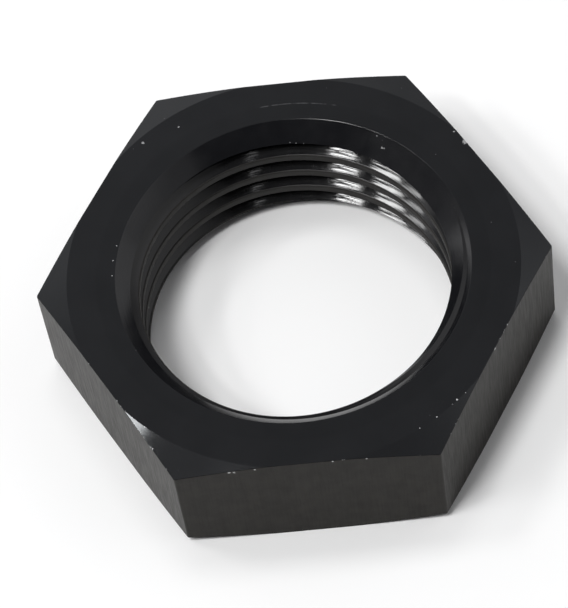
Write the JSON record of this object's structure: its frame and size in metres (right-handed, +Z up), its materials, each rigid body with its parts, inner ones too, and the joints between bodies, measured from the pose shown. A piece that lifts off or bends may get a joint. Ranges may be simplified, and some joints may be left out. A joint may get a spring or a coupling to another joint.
{
  "type": "bulkhead nut",
  "caption": "Thin hexagon nut with a fine right-hand thread and a countersink, which clamps a threaded tube fitting through a panel.",
  "frame": {"origin": "centre of the flat face that it lies on, on the thread's axis", "axes": "+Z up along the thread's axis to the countersunk face; +X through two corners of the hexagon, so two flats are square to Y"},
  "size_m": [0.033, 0.0286, 0.0087],
  "materials": {
    "black_anodised_aluminium": "black anodised, satin on the turned faces, brushed on the flats"
  },
  "bodies": {
    "root": {"bulkhead_nut": "black_anodised_aluminium"}
  },
  "joints": []
}
